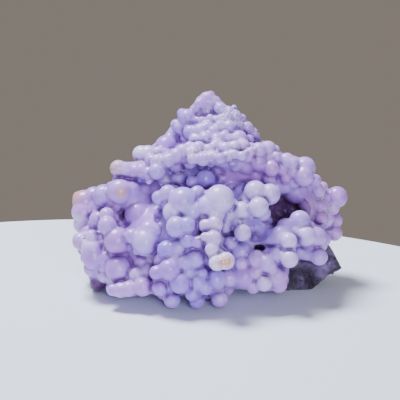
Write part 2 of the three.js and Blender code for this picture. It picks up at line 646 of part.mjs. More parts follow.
const chalcedony = new THREE.MeshStandardMaterial({ color: "#b3a6d9", roughness: 0.35, metalness: 0 });
const cluster = new THREE.Mesh(surfaceNet(), chalcedony);
cluster.name = "chalcedony_cluster";

const specimen = new THREE.Group();
specimen.add(cluster);
export default specimen;
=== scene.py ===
import math

import bmesh
import bpy
import numpy as np
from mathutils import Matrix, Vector


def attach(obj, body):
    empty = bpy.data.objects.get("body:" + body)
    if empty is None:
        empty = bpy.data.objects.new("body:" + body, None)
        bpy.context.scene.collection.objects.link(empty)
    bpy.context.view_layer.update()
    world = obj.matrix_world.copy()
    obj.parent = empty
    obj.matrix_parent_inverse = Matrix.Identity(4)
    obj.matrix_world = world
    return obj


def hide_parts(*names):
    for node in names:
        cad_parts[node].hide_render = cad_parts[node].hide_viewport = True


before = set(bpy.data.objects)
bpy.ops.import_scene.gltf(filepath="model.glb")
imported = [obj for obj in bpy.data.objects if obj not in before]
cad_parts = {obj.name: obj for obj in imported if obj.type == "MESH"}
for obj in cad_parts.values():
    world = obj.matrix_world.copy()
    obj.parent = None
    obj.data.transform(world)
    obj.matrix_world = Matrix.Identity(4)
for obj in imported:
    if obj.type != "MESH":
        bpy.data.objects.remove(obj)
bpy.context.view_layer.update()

MM = 0.001  # the rows below count in thousandths of a metre

# Driving dimensions
CELL = 0.59 * MM  # spacing of the lattice that carries the surface
CREASE_SHARPNESS = 7 / MM  # higher leaves deeper creases between balls
CORE_SHARPNESS = 0.8 / MM  # the same between the cores, which run into each other softly
STEM_REACH = 0.35  # a stem runs this share of the way from its ball to the nearest core
STEM_SHARE = 0.66  # radius of a stem as a share of its ball
BRIDGE_NEAR = 0.55  # two balls whose middles are this many of their two radii apart, or more,
BRIDGE_FAR = 1.2  # up to this many, have a smaller ball between them, a bridge
BRIDGE_SHARE = 0.85  # its radius as a share of the smaller ball's
BRIDGE_BACK = 0.9  # how far it stands back from the eye, as a share of its radius
MIDDLE_Y = 2.6 * MM  # the middle of the specimen's depth, moved to the origin

# The front view that places the grown balls: a distant eye, a little above the specimen.
VIEW_TILT = math.radians(18)
VIEW_DISTANCE = 600 * MM
VIEW_ACROSS = -3.33 * MM
VIEW_UP = 30 * MM

# Balls grown on the specimen, each as across, up, radius and toward: its place and size as the
# front view shows them, and how far its centre stands toward the eye, in thousandths of a metre.
CROWN_TIP = [
    (-1, 63.6, 2.6, 6), (-3, 62.8, 1.9, 6), (1.6, 62.6, 2.2, 6), (0.2, 65, 1.5, 5),
    (3.6, 61.6, 1.3, 6), (-4.2, 61.6, 1.4, 5), (0.4, 61.4, 2, 6),
]
CROWN_FACE = [
    (3.5, 60.3, 2.3, 8), (6, 59, 2.4, 8), (8, 60.7, 1.1, 5), (8.3, 58, 2.2, 8), (5, 57, 2.2, 9),
    (0, 57.3, 1.4, 9), (1.8, 56.8, 1.2, 9.5), (3.1, 57, 1.4, 9.5), (-1.5, 58.5, 2.5, 4.5),
    (-3.7, 58, 2, 4.5), (10.6, 57.2, 1.6, 5), (-1, 59.6, 2.2, 6), (-4.8, 60.3, 1.4, 6.5),
]
CROWN_LEFT = [
    (-9.3, 58.8, 1.8, 5), (-7.6, 57.5, 2.9, 6), (-5.6, 60.6, 1.1, 5), (-11.5, 55.3, 1.7, 4),
    (-9.8, 54, 2.3, 5), (-12.3, 52.6, 1.8, 3), (-4.6, 56.4, 1.6, 7), (-7.6, 54.6, 1.4, 7),
]
CROWN_ROW = [
    (-6.5, 52.6, 2.5, 9), (-3.2, 53, 2.6, 10), (-0.8, 54.3, 2.2, 10), (1.2, 52.6, 2.2, 11),
    (3.5, 54.6, 2.1, 10), (6.4, 54.2, 2.4, 10), (9.1, 55.2, 2.2, 8), (12.2, 53.9, 2.4, 5),
    (14.2, 52.4, 1.9, 3), (15.4, 51.4, 1.3, 1), (9.6, 50.4, 2.9, 11), (13, 50.2, 1.7, 8),
    (4.8, 51.6, 1.6, 12), (2.3, 50, 2.5, 12), (-1.5, 50.3, 2.6, 12), (-5, 50, 2.2, 11),
    (6.3, 50, 2.2, 12),
]
LEFT_BLOCK = [
    (-14.5, 47.8, 3.9, 4), (-13, 51, 2.2, 3), (-11, 49.5, 2.5, 2),
]
UPPER_FINGER = [
    (-23, 45.3, 2.9, 7), (-20.6, 45.3, 3, 8), (-17, 46.2, 1.8, 8),
]
LOWER_FINGER = [
    (-30.6, 40.6, 2.8, 10), (-28.2, 40, 2.6, 10), (-25.6, 39.6, 2.5, 10), (-22.7, 39.7, 2.7, 11),
    (-20.3, 38.8, 2.3, 12),
]
LIP = [
    (-17.6, 39.6, 2.9, 17), (-17.4, 42.8, 2.6, 16), (-14, 43.2, 2.5, 17), (-11.2, 44.8, 2.4, 17),
    (-9, 46.3, 2.4, 17), (-6.8, 47.8, 1.8, 16), (-6.3, 45.7, 2, 18), (-5.9, 43.7, 1.9, 19),
    (-3.8, 47.5, 2.2, 17), (-2.4, 43.7, 2.5, 19), (-0.3, 46.6, 2.2, 17), (3.3, 43.9, 1.9, 21),
    (2.3, 48, 2.5, 15), (5, 47, 2.4, 17), (8, 45.3, 1.6, 19), (10.6, 44.6, 1.7, 19),
    (8.2, 47.8, 2.1, 16), (11, 48, 2.4, 14), (13.4, 46.1, 1.6, 17), (16.2, 46.6, 2.7, 14),
    (19.3, 47, 2.8, 12), (21.4, 46.5, 2, 9), (22.2, 44.5, 1.7, 14), (25.6, 43.2, 2.6, 13),
    (27.6, 42.3, 2, 14), (31.5, 40.7, 3.8, 11), (31.2, 38, 3.4, 13), (5.8, 44.6, 1.9, 18.5),
    (1, 44.4, 2.1, 19), (12.4, 44.3, 1.9, 16),
]
LIP_UNDERSIDE = [
    (16, 42.5, 3, 14), (20.4, 40.6, 2.8, 14), (24, 40.5, 2.4, 12), (25.2, 37.5, 1.9, 12),
    (12, 41.5, 3, 12), (10.8, 38.5, 2.6, 9), (7, 40, 2.5, 9), (15, 38.5, 2.8, 9),
    (20, 37.3, 2.5, 10), (27.6, 39.6, 2.2, 13),
]
GROOVE_WALL = [
    (-1.5, 37, 3.2, 14), (-6, 36, 2.1, 14), (-10.5, 37, 2.6, 8), (3, 37.5, 2.8, 6),
    (-15, 36.5, 2.6, 6), (-6.5, 39.5, 3, 3), (-1.5, 41, 3, 4), (2.5, 41, 2.6, 5),
    (-12, 40.5, 3, 3), (-16.5, 39, 3, 3),
]
LEFT_PILLAR = [
    (-42, 29.5, 3.9, 2), (-42.3, 26, 3.9, 3), (-42.3, 22, 3.3, 2), (-44, 31.2, 1.7, 2),
    (-38.7, 31.2, 3.3, 3), (-39, 26.6, 3.2, 3), (-39, 22, 2.2, 5),
]
LEFT_UPPER = [
    (-35.3, 31.4, 3.9, 8), (-30, 32.8, 4.4, 11), (-26.3, 33.3, 3.4, 10), (-22.6, 32.7, 3.3, 7),
    (-34.4, 25, 2.6, 13), (-34.3, 21.4, 3.2, 15), (-29.5, 21.3, 2.2, 9), (-24, 25, 4.6, 10),
    (-26.5, 29, 3, 9), (-31.5, 28.6, 2.6, 9),
]
LEFT_LOWER = [
    (-43, 16.3, 3, 8), (-39.4, 18, 2.2, 12), (-39, 13.5, 4.1, 11), (-38.6, 10.6, 4, 11),
    (-39.3, 7.3, 2.9, 6), (-37.4, 2.3, 2.8, 2), (-31, 16.4, 4.6, 15), (-30.4, 7, 4.5, 15),
    (-34.6, 10.5, 3, 12), (-34.8, 5, 2.8, 9),
]
TWO_EARED_BALL = [
    (-21.5, 16, 4.8, 19), (-20.3, 20, 3.3, 19), (-26, 18, 2.6, 19), (-22.8, 9.4, 3, 15),
    (-19.5, 9.5, 2.3, 15), (-24.6, 5, 2.6, 18), (-22.4, 1.1, 3.3, 20), (-20.8, 6, 3, 17),
    (-18.6, 19.8, 2.4, 19.5), (-24.6, 12.8, 1.2, 18.5),
]
LOW_FINGER = [
    (-32.4, 0, 2.1, 18), (-29.8, 0, 2.7, 18.5), (-27, 0.4, 2.8, 19),
]
CENTRE_UPPER = [
    (-17.1, 30.8, 2.4, 19), (-14, 32.2, 2.9, 20), (-9, 29.5, 4.9, 22), (-4.2, 32.3, 2.6, 20),
    (-12.3, 26, 3.5, 22), (-6, 26, 3.8, 23), (3.2, 30.3, 4.9, 24), (5, 29.3, 2.7, 26),
    (-1, 28, 3.5, 24), (2, 25.5, 3, 25), (-11, 21, 3.7, 25), (-7.5, 21.5, 3.2, 25),
]
CENTRE_LOWER = [
    (-14.4, 13.3, 3.3, 23), (-10.6, 14.2, 2.9, 24), (-7.4, 16.5, 2.6, 26), (-4, 16, 2.3, 26),
    (-5, 10.4, 3.1, 25), (-8.7, 9.3, 2.6, 25), (-13.5, 6.8, 3.7, 25), (-17.8, 5.8, 2.5, 24),
    (-3, 5.4, 2.3, 24), (-16.6, 0.6, 2.7, 23), (-10, 2.3, 3.6, 25), (-6, -1.4, 2.4, 24),
    (-4, 2.5, 2.5, 25), (-1.5, 0.8, 2.6, 24), (2, 3.5, 3.5, 22), (-12.7, -3.2, 2.9, 20),
    (-7, 6, 2.4, 24.5), (-11.6, 10.6, 2.2, 24),
]
HANGING_FINGER = [
    (-1.5, 21.4, 2.4, 26), (1.6, 22, 2.8, 26.5), (-1.8, 17.8, 1.5, 29), (1.1, 17.2, 2.8, 28.5),
    (0.7, 13.6, 2.5, 29.5), (2.3, 9.1, 2.8, 30.5), (5.3, 9.7, 3, 30.5),
]
FRONT_FEET = [
    (-4.3, -3.6, 2.7, 19.8), (3.2, -3, 3, 18.9),
]
RIGHT_UPPER = [
    (10.2, 32.7, 2.3, 14), (10.5, 26.5, 3.1, 21), (9.6, 23, 2.8, 19), (15, 32.9, 3.7, 19.5),
    (19.9, 31.9, 3.6, 18.5), (16.2, 27.6, 3.4, 22.5), (17.8, 25.5, 2.6, 17),
    (10.9, 19.1, 2.9, 24), (6, 25, 3, 20), (5, 21.5, 2.7, 20), (6.7, 15.8, 2.5, 19),
    (10.5, 12.7, 3.4, 18.5),
]
RIGHT_MIDDLE = [
    (16.8, 21, 3.2, 12), (17.8, 17.5, 2.8, 11), (19.3, 13, 1.7, 14), (15.5, 10.3, 3.1, 21),
    (19, 8.8, 3.2, 22), (22.3, 11.7, 2.9, 21), (26.5, 10.3, 3, 24), (26.2, 16.3, 2.9, 23),
    (23.7, 18, 3.8, 19), (25.1, 21, 3, 17), (29.9, 23, 3.6, 16), (32, 17.9, 3.4, 18),
    (35.3, 17.6, 3.6, 15), (36.4, 11, 2.9, 16), (30.2, 12.7, 2.1, 14), (33.3, 13.3, 2.2, 14),
    (28.4, 19.4, 2, 18),
]
RIGHT_LOWER = [
    (11.5, 4.3, 4, 20), (14.4, 1.1, 2.4, 20), (18, 2.2, 2.8, 22), (22.4, 4.5, 3.7, 20),
    (23, 1.8, 2.8, 19), (6.5, 4, 3, 20), (15.3, 6, 2.6, 21), (10.6, 8.8, 2.4, 21),
    (20.4, 7.2, 2.6, 21),
]
RIGHT_WALL = [
    (28.5, 32.8, 4, 5), (32.5, 29, 3.2, 3), (36.5, 28, 2.5, 3), (37, 24, 2.3, 4),
    (36, 33, 2.5, 4), (35, 36.5, 2.2, 6), (37.6, 34.4, 1.8, 2), (42.3, 31, 3.6, -2),
    (40.8, 27.5, 2.5, -1), (42, 23.3, 2.3, -6), (41.5, 19, 2.7, -6), (38, 31, 3, -2),
    (38, 24, 3.5, -4),
]

# The growths by name, each with its rows and two tints: how pale it is, from 0 to 1, and how pink,
# from -1 for the bluest lavender to 1 for the warmest mauve.
GROWTHS = [
    ("peak", CROWN_TIP, 0.30, 0.7),
    ("crown face", CROWN_FACE, 0.45, 0.0),
    ("crown left", CROWN_LEFT, 0.20, 0.0),
    ("crown row", CROWN_ROW, 0.35, 0.0),
    ("left block", LEFT_BLOCK, 0.15, 0.6),
    ("upper finger", UPPER_FINGER, 0.75, 0.9),
    ("lower finger", LOWER_FINGER, 0.30, 0.3),
    ("lip", LIP, 0.45, 0.3),
    ("underside of the lip", LIP_UNDERSIDE, 0.10, 0.9),
    ("wall of the groove", GROOVE_WALL, 0.15, -0.1),
    ("left pillar", LEFT_PILLAR, 0.15, 0.9),
    ("left upper mass", LEFT_UPPER, 0.20, 0.4),
    ("left lower mass", LEFT_LOWER, 0.15, 0.4),
    ("two-eared ball", TWO_EARED_BALL, 0.25, 0.4),
    ("low finger", LOW_FINGER, 0.30, 0.8),
    ("upper centre", CENTRE_UPPER, 0.35, -0.4),
    ("lower centre", CENTRE_LOWER, 0.10, -0.2),
    ("hanging finger", HANGING_FINGER, 0.70, 0.4),
    ("front feet", FRONT_FEET, 0.00, 0.2),
    ("upper right", RIGHT_UPPER, 0.35, -0.1),
    ("middle right", RIGHT_MIDDLE, 0.25, 0.1),
    ("lower right", RIGHT_LOWER, 0.20, 0.5),
    ("right wall", RIGHT_WALL, 0.15, 0.8),
]

# Rounded cores under the balls, in the front view's directions: the middle and the half-widths
# across, up and toward the eye, then how many places for cover balls are spread over each core,
# and the radii of its smallest and largest ones.
CORE_PARTS = ("name", "middle", "half", "places", "radii")
CORE_ROWS = [
    ("lower body", (-3, 18.4, 1.8), (31, 15, 19), 170, (2.6, 5)),
    ("left body", (-27, 23.4, -0.8), (13, 11, 11), 70, (2.6, 4.8)),
    ("right body", (26, 27.5, -0.5), (10, 11, 10), 70, (2.4, 4.4)),
    ("upper body", (2, 40.8, 0.6), (20, 11, 11), 120, (2.2, 4.2)),
    ("back slope", (0, 30, -6), (26, 15, 12), 110, (2.4, 4.6)),
    ("crown", (0.5, 52, 3), (9, 8, 6.5), 110, (1.3, 2.4)),
    ("upper centre", (-6, 25, 10), (11, 9, 12.5), 80, (2, 3.8)),
    ("lower centre", (-8, 8, 12), (11, 10, 11.5), 90, (2, 3.8)),
    ("left upper mass", (-33, 28, 0), (10, 6, 8), 60, (2, 3.6)),
    ("left lower mass", (-34.5, 12, 2), (8, 9.5, 9), 60, (2, 3.8)),
    ("two-eared mass", (-22.5, 12, 8), (6, 8.5, 8.5), 50, (2, 3.4)),
    ("low left mass", (-27, 4.5, 8), (8, 4.8, 9.5), 50, (2, 3.2)),
    ("low right mass", (12, 5, 9), (12.5, 4.8, 10), 70, (2, 3.4)),
    ("right centre", (11, 24, 6), (8.5, 10, 10.5), 70, (1.8, 3.4)),
    ("bridge by the cave", (29, 16.5, 7.5), (8.5, 4.6, 8), 50, (1.8, 3)),
    ("lip", (4, 43, 6), (26, 3.8, 9.5), 150, (1.3, 2.6)),
    ("right shoulder", (24.5, 38.5, 3), (8, 4.6, 8), 60, (1.6, 2.8)),
    ("right wall", (34.5, 28, -4), (6.5, 6.5, 7), 50, (1.6, 2.8)),
]
CORES = [dict(zip(CORE_PARTS, row)) for row in CORE_ROWS]

# Hollows between the growths, shaped like the cores, with the same places and radii for the balls
# that line their walls.
HOLLOW_ROWS = [
    ("dark cave at the right", (26.3, 26.4, 12), (8, 5.8, 18), 50, (1.3, 2)),
    ("left side of the cave", (21.6, 23.6, 13), (2.2, 3.8, 12), 20, (1.2, 2)),
    ("hole in the left mass", (-29, 24.5, 13), (3.2, 4, 9), 24, (1.2, 1.8)),
    ("groove under the lip", (-7, 38.6, 17), (13.5, 4, 12), 60, (1.4, 2.6)),
    ("slit beside the left mass", (-17.2, 25, 20), (1.8, 4, 7), 20, (1.2, 1.8)),
    ("hole under the right balls", (16.4, 14, 16), (1.9, 1.1, 12), 0, (1, 1)),
    ("recess by the bright ball", (15.6, 19.4, 21), (4, 4.2, 8), 20, (1.2, 2)),
    ("hole beside the hanging finger", (6.2, 18.7, 22), (2.1, 1.5, 7), 0, (1, 1)),
]
HOLLOWS = [dict(zip(CORE_PARTS, row)) for row in HOLLOW_ROWS]

# Broken pieces with flat faces: the middle in the front view, then each face's direction across,
# up and toward the eye, and its distance from the middle.
PEAK_CHUNK = {
    "middle": (-1.2, 62.6, 6),
    "faces": [
        (-0.56, 0.83, 0, 2.2), (0.885, 0.465, 0, 2.98), (-1, 0, 0, 3.9), (0, -1, 0, 1.8),
        (0, 0.3, 0.95, 2.5), (0, -0.6, 0.8, 2.4), (0, 0, -1, 3),
    ],
}
BROKEN_BASE = {
    "middle": (33, 8, -3),
    "faces": [
        (0.87, 0.49, 0, 9.2), (0.55, -0.83, 0, 6.65), (-1, 0, 0, 14), (0, 1, 0, 9),
        (0.1, -0.3, 0.95, 5), (0, 0, -1, 11), (0.6, -0.2, 0.77, 7.5), (0.5, 0.1, -0.86, 8),
    ],
}
BROKEN_UNDERSIDE = {
    "middle": (6, 4, -8),
    "faces": [
        (-0.85, -0.5, 0.1, 14), (0.8, -0.6, 0, 24), (0, 1, 0, 6), (0.05, -0.5, 0.86, 8),
        (0.25, -0.2, -0.95, 9), (-0.5, -0.2, -0.84, 11),
    ],
}
BROKEN_PIECES = [PEAK_CHUNK, BROKEN_BASE, BROKEN_UNDERSIDE]

# The outline that the front view shows, as across and up. Cover balls keep inside it.
OUTLINE = [
    (-37, 1), (-41, 6), (-43.5, 12), (-45, 16), (-44.3, 20), (-45.5, 26), (-45.5, 32), (-40, 33),
    (-35, 35.3), (-31, 36.5), (-24, 41), (-18, 48.5), (-13.5, 52), (-10.5, 59.5), (-5, 61.5),
    (-1, 65.5), (2, 63.8), (5, 61), (9, 60), (11, 56), (14.5, 53.5), (17, 49.7), (22, 48),
    (24, 45.5), (28, 44), (32, 43.8), (35, 40.5), (35.7, 37), (39, 34.5), (44, 33), (45.5, 30),
    (43.5, 26), (44, 19), (41.5, 16.5), (38.5, 13), (33, 8.5), (26, 8), (26, 2), (24, -0.5),
    (8, 0.5), (6, -3), (-8, -3), (-13, -5.5), (-17, -2), (-24, -1.8), (-33, -1.5),
]

# Spots with a skin of tiny white crystals, whose white flecks also stand in for painted glints, tan
# stained tips, paler balls, partly their own paler colour and partly painted light on the brighter balls,
# and painted shade inside the hollows and at the foot of the left side: the middle in the front view, and
# the radius that each reaches.
DRUSE_SPOTS = [
    (7, 58.5, 10, 4), (11, 56, 8, 3), (14.5, 52, 6, 3), (3.5, 57, 11, 2.5), (9, 51, 12, 2),
    (-5.7, 46.5, 19, 2), (-2, 45.5, 20, 1.8), (1.6, 46.5, 19, 1.8), (11, 46.5, 17, 2),
    (-19, 45.5, 9, 2), (4.5, 29.5, 27, 2.5), (2.5, 9.5, 32, 3.5), (-44.5, 24, 4, 3),
    (-42, 17, 10, 2), (36.5, 35.5, 4, 3.5), (38, 31, 3, 3), (38.5, 27, 2, 3.5),
    (-24.8, 13, 19, 1.5), (-35, 13.5, 14, 1.5),
]
STAIN_SPOTS = [
    (-31.5, 40.8, 11, 3.2), (5.2, 9, 33, 3.6), (-43.8, 30.8, 3, 4.2), (-29.5, 32.5, 15, 2.6),
    (-43.8, 15.5, 9, 2.2),
]
# Paler balls: the tips are their own paler colour, and the brighter balls at the right and front are
# painted light.
PALE_AND_LIT_SPOTS = [
    (10.9, 19.1, 24, 5), (3.2, 30.3, 26, 7), (16, 32.5, 21, 6.5), (16.2, 27.6, 23, 5.5),
    (10.5, 26.5, 22, 5.5), (26.1, 16.4, 24, 5), (26.3, 10.3, 25, 5), (32, 17.9, 20, 5),
    (18, 2.2, 23, 4.5), (5.2, 9.7, 31, 6), (-23, 45.3, 8, 4.5), (-30.6, 40.6, 11, 4),
    (-43.5, 23, 4, 5), (-40, 16, 12, 4.5), (-22, 16.5, 22, 5),
]
# Painted shade inside the cave and the holes, and at the foot of the left side.
SHADE_SPOTS = [(26, 26, 0, 12), (20, 24, 4, 9), (16.4, 14, 9, 9), (-38, 0.5, 3, 6), (-25, 25, 1, 8)]
SPOT_STEEPNESS = 1.6  # how fast a spot fades to nothing at its radius; its inner part stays full
PALE_AND_LIT_STRENGTH = 0.55  # how much paler a pale spot is than the ball it lies on

# Chips broken out of the dark base: how many, how steep their faces are, and their greatest depth.
CHIP_SEED = 5
CHIP_COUNT = 160
CHIP_SLOPE = 0.45
CHIP_DEPTH = 1.1 * MM

# Cover balls fill a core's surface between the grown ones, on a spiral of even spacing.
COVER_DEPTH = 1.04  # the balls' middles lie this share of the way out to the core's surface
GROUND_ROOM = 0.8  # the lowest ball middle, as a share of the ball's radius
BUD_EVERY = 3  # every third place at the back carries a second ball, a bud, on the first
BUD_SIDE = 0.25  # how far to the back, from -1 to 1, a place must face to carry one
BUD_STEP = 0.9  # how far out a bud's middle stands, as a share of the radius below it
BUD_SHARE = 0.75  # a bud's radius as a share of the radius below it
OUTLINE_ROOM = 0.85  # a ball's middle stands at least this share of its radius inside the outline
SMALLEST_SHARE = 0.6  # a ball is left out where it would shrink below this share of the smallest
HOLLOW_ROOM = 0.6  # a ball's middle stands at least this share of its radius outside every hollow
GROWN_ROOM = 0.4  # and at least this share of it outside every grown ball
LINING_DEPTH = 0.6  # a lining ball lies at least this share of its radius inside the body
COVER_PALE = 0.15  # the two tints of cover and lining balls
COVER_PINK = 0.3
PALE_VARIETY = 0.3  # how far these two tints differ between the balls of one group
PINK_VARIETY = 0.8

# Whole multiples of these roots leave fractions that never repeat, which spread sizes and tints.
SIZE_STEP = math.sqrt(2)
PALE_STEP = math.sqrt(3)
PINK_STEP = math.sqrt(7)

# How the surface is worked out
BOX_ROOM = 7 * MM  # the lattice reaches this far past the balls' middles
CORE_DEPTH = 6 * MM  # distances are not told apart farther than this from the cores' surface
BROKEN_DEPTH = 5 * MM  # nor farther than this inside a broken piece
BROKEN_REACH = 45 * MM  # more than any broken piece reaches from its middle
TINY = 1e-6  # keeps a division by a length or a slope away from zero
FILLED_CORNER = -CELL / 10  # the distance given to a lattice node that is filled
JUST_PAST_NODE = 1.001  # keeps a sampled place inside the lattice's last cell
SETTLE_ROUNDS = 2  # how often points are moved onto the surface
SETTLE_STEP = 0.3  # the longest such move, as a share of a cell
CELL_EDGE = 0.05  # points stay this share of a cell away from its walls
# The open space outside the surface sets the painted crevice shade: creases are painted darker.
NEAR_REACH = 1.2 * MM  # how far out of the surface the open space is felt, near and far,
FAR_REACH = 2.4 * MM  # to tell the crevices
TINT_SHARPNESS = 1.2 / MM  # higher ends a ball's tint more sharply
TINT_CHUNK = 4000  # points tinted at a time, which bounds the memory
ROCK_EDGE = 0.4 * MM  # the broken rock's look fades out over this distance
CHIPPED_FROM = 0.5  # chips are cut where the rock's share is above this

# The front view's directions in the specimen's own frame.
ACROSS_WAY = np.array([1, 0, 0])
UP_WAY = np.array([0, math.sin(VIEW_TILT), math.cos(VIEW_TILT)])
TOWARD_WAY = np.array([0, -math.cos(VIEW_TILT), math.sin(VIEW_TILT)])


def shrink_at(toward):
    """What stands nearer the eye looks larger, so its real size shrinks by this much."""
    return 1 - toward / VIEW_DISTANCE


def from_view(across, up, toward):
    """A place in metres from its place in the front view, given in thousandths of a metre."""
    across, up, toward = across * MM, up * MM, toward * MM
    shrink = shrink_at(toward)
    return (
        ACROSS_WAY * (VIEW_ACROSS + (across - VIEW_ACROSS) * shrink)
        + UP_WAY * (VIEW_UP + (up - VIEW_UP) * shrink)
        + TOWARD_WAY * toward
    )


class Balls:
    """Centres, radii and tints of a set of balls."""

    def __init__(self):
        self.centres = []
        self.radii = []
        self.tints = []

    def add(self, centre, radius, tint):
        self.centres.append(centre)
        self.radii.append(radius)
        self.tints.append(tint)

    def distances(self, place):
        """How far one place lies from each ball's surface."""
        return np.linalg.norm(np.array(self.centres) - place, axis=1) - np.array(self.radii)


def varied_tint(pale, pink, place):
    """A group's tints, a little different from ball to ball."""
    pale_change = (place * PALE_STEP) % 1 - 0.5
    pink_change = (place * PINK_STEP) % 1 - 0.5
    return (pale + PALE_VARIETY * pale_change, pink + PINK_VARIETY * pink_change)


def grown_balls():
    """The balls that the front view shows, one by one."""
    balls = Balls()
    for _, rows, pale, pink in GROWTHS:
        for place, (across, up, radius, toward) in enumerate(rows):
            centre = from_view(across, up, toward)
            balls.add(centre, radius * MM * shrink_at(toward * MM), varied_tint(pale, pink, place))
    return balls


def in_view(points, middle):
    """Offsets from a place of the front view, along across, up and toward."""
    offset = points - from_view(*middle)
    return np.stack([offset @ ACROSS_WAY, offset @ UP_WAY, offset @ TOWARD_WAY], axis=-1)


def share_of_core(points, core):
    """How far points lie from a core's middle, as a share of its size: 1 is its surface."""
    return np.linalg.norm(in_view(points, core["middle"]) / (np.array(core["half"]) * MM), axis=-1)


def core_distance(points, core):
    """About how far points lie from a core's surface, negative inside it."""
    half = np.array(core["half"]) * MM
    offset = in_view(points, core["middle"])
    share = np.linalg.norm(offset / half, axis=-1)
    slope = np.linalg.norm(offset / half**2, axis=-1)
    return share * (share - 1) / np.maximum(slope, TINY)


def nearest_core(point):
    return min(CORES, key=lambda core: share_of_core(point, core))


def broken_distance(points, piece):
    """How far points lie outside the flat faces of a broken piece, negative inside it."""
    offset = in_view(points, piece["middle"])
    farthest = np.full(points.shape[:-1], -np.inf)
    for across, up, toward, distance in piece["faces"]:
        farthest = np.maximum(farthest, offset @ np.array([across, up, toward]) - distance * MM)
    return farthest


def room_inside(point):
    """How far inside the outline a point stands in the front view, negative beyond it."""
    shrink = shrink_at(point @ TOWARD_WAY)
    across = (VIEW_ACROSS + (point @ ACROSS_WAY - VIEW_ACROSS) / shrink) / MM
    up = (VIEW_UP + (point @ UP_WAY - VIEW_UP) / shrink) / MM
    starts = np.array(OUTLINE, dtype=float)
    along = np.roll(starts, -1, axis=0) - starts
    offset = np.array([across, up]) - starts
    share = np.clip((offset * along).sum(axis=1) / (along**2).sum(axis=1), 0, 1)
    nearest = np.linalg.norm(offset - share[:, None] * along, axis=1).min() * MM
    beside = (offset[:, 1] < 0) != (offset[:, 1] < along[:, 1])
    climb = np.where(beside, along[:, 1], 1)
    to_the_right = offset[:, 0] < along[:, 0] * offset[:, 1] / climb
    inside = np.count_nonzero(beside & to_the_right) % 2 == 1
    return nearest if inside else -nearest


def spiral_places(core):
    """Places spread evenly over a core, each with its way out and its ball's radius."""
    golden_turn = math.pi * (3 - math.sqrt(5))
    middle = from_view(*core["middle"])
    half = np.array(core["half"]) * MM
    smallest, largest = core["radii"]
    for place in range(core["places"]):
        level = 1 - 2 * (place + 0.5) / core["places"]
        ring = math.sqrt(1 - level**2)
        turn = place * golden_turn
        across, up, toward = COVER_DEPTH * half * (ring * math.cos(turn), level, ring * math.sin(turn))
        offset = across * ACROSS_WAY + up * UP_WAY + toward * TOWARD_WAY
        radius = smallest + (largest - smallest) * ((place * SIZE_STEP) % 1)
        yield place, middle + offset, offset / np.linalg.norm(offset), radius * MM


def cover_balls(grown):
    """Balls over the rest of the cores, left out where they would hide a hollow or a grown ball."""
    balls = Balls()
    for core in CORES:
        for place, centre, outward, radius in spiral_places(core):
            radius = min(radius, room_inside(centre) / OUTLINE_ROOM)
            too_small = radius < core["radii"][0] * SMALLEST_SHARE * MM
            buried = any(share_of_core(centre, other) < 1 for other in CORES if other is not core)
            in_hollow = any(core_distance(centre, hollow) < radius * HOLLOW_ROOM for hollow in HOLLOWS)
            on_grown = grown.distances(centre).min() < radius * GROWN_ROOM
            on_ground = centre[2] < radius * GROUND_ROOM
            if too_small or buried or in_hollow or on_grown or on_ground:
                continue
            tint = varied_tint(COVER_PALE, COVER_PINK, place)
            balls.add(centre, radius, tint)
            bud = centre + outward * radius * BUD_STEP
            bud_fits = outward[1] > BUD_SIDE and room_inside(bud) > radius * BUD_SHARE
            if place % BUD_EVERY == 0 and bud_fits:
                balls.add(bud, radius * BUD_SHARE, tint)
    return balls


def lining_balls(lattice, body):
    """Balls on the walls of the hollows, wherever the body reaches around them."""
    balls = Balls()
    for hollow in HOLLOWS:
        for place, centre, _, radius in spiral_places(hollow):
            in_another = any(share_of_core(centre, other) < 1 for other in HOLLOWS if other is not hollow)
            depth = -sample(lattice, body, centre[None])[0]
            if depth > radius * LINING_DEPTH and not in_another and centre[2] > radius:
                balls.add(centre, radius, varied_tint(COVER_PALE, COVER_PINK, place))
    return balls


class Lattice:
    """Distances to the surface at even steps through a box, negative inside the specimen."""

    margin = 2.5 * MM  # shapes are felt this far outside their surface

    def __init__(self, low, high):
        self.low = np.array(low)
        self.counts = np.ceil((np.array(high) - self.low) / CELL).astype(int) + 1
        self.axes = [self.low[a] + CELL * np.arange(self.counts[a]) for a in range(3)]

    def sums(self):
        return np.zeros(self.counts)

    def window(self, low, high):
        """The slices that cover a box, and the places of their nodes."""
        first = np.clip(np.floor((low - self.low) / CELL).astype(int), 0, self.counts)
        last = np.clip(np.ceil((high - self.low) / CELL).astype(int) + 1, 0, self.counts)
        slices = tuple(slice(a, b) for a, b in zip(first, last))
        axes = [self.axes[a][slices[a]] for a in range(3)]
        return slices, np.stack(np.meshgrid(*axes, indexing="ij"), axis=-1)

    def add_ball(self, sums, centre, radius):
        reach = radius + self.margin
        slices, places = self.window(centre - reach, centre + reach)
        distance = np.linalg.norm(places - centre, axis=-1) - radius
        sums[slices] += np.exp(-CREASE_SHARPNESS * distance)

    def add_stem(self, sums, start, end, radius):
        reach = radius + self.margin
        low, high = np.minimum(start, end) - reach, np.maximum(start, end) + reach
        slices, places = self.window(low, high)
        along = end - start
        share = np.clip((places - start) @ along / (along @ along), 0, 1)
        distance = np.linalg.norm(places - start - share[..., None] * along, axis=-1) - radius
        sums[slices] += np.exp(-CREASE_SHARPNESS * distance)

    def add_broken(self, sums, piece):
        middle = from_view(*piece["middle"])
        slices, places = self.window(middle - BROKEN_REACH, middle + BROKEN_REACH)
        distance = np.maximum(broken_distance(places, piece), -BROKEN_DEPTH)
        sums[slices] += np.exp(-CREASE_SHARPNESS * distance)

    def whole(self):
        return np.stack(np.meshgrid(*self.axes, indexing="ij"), axis=-1)


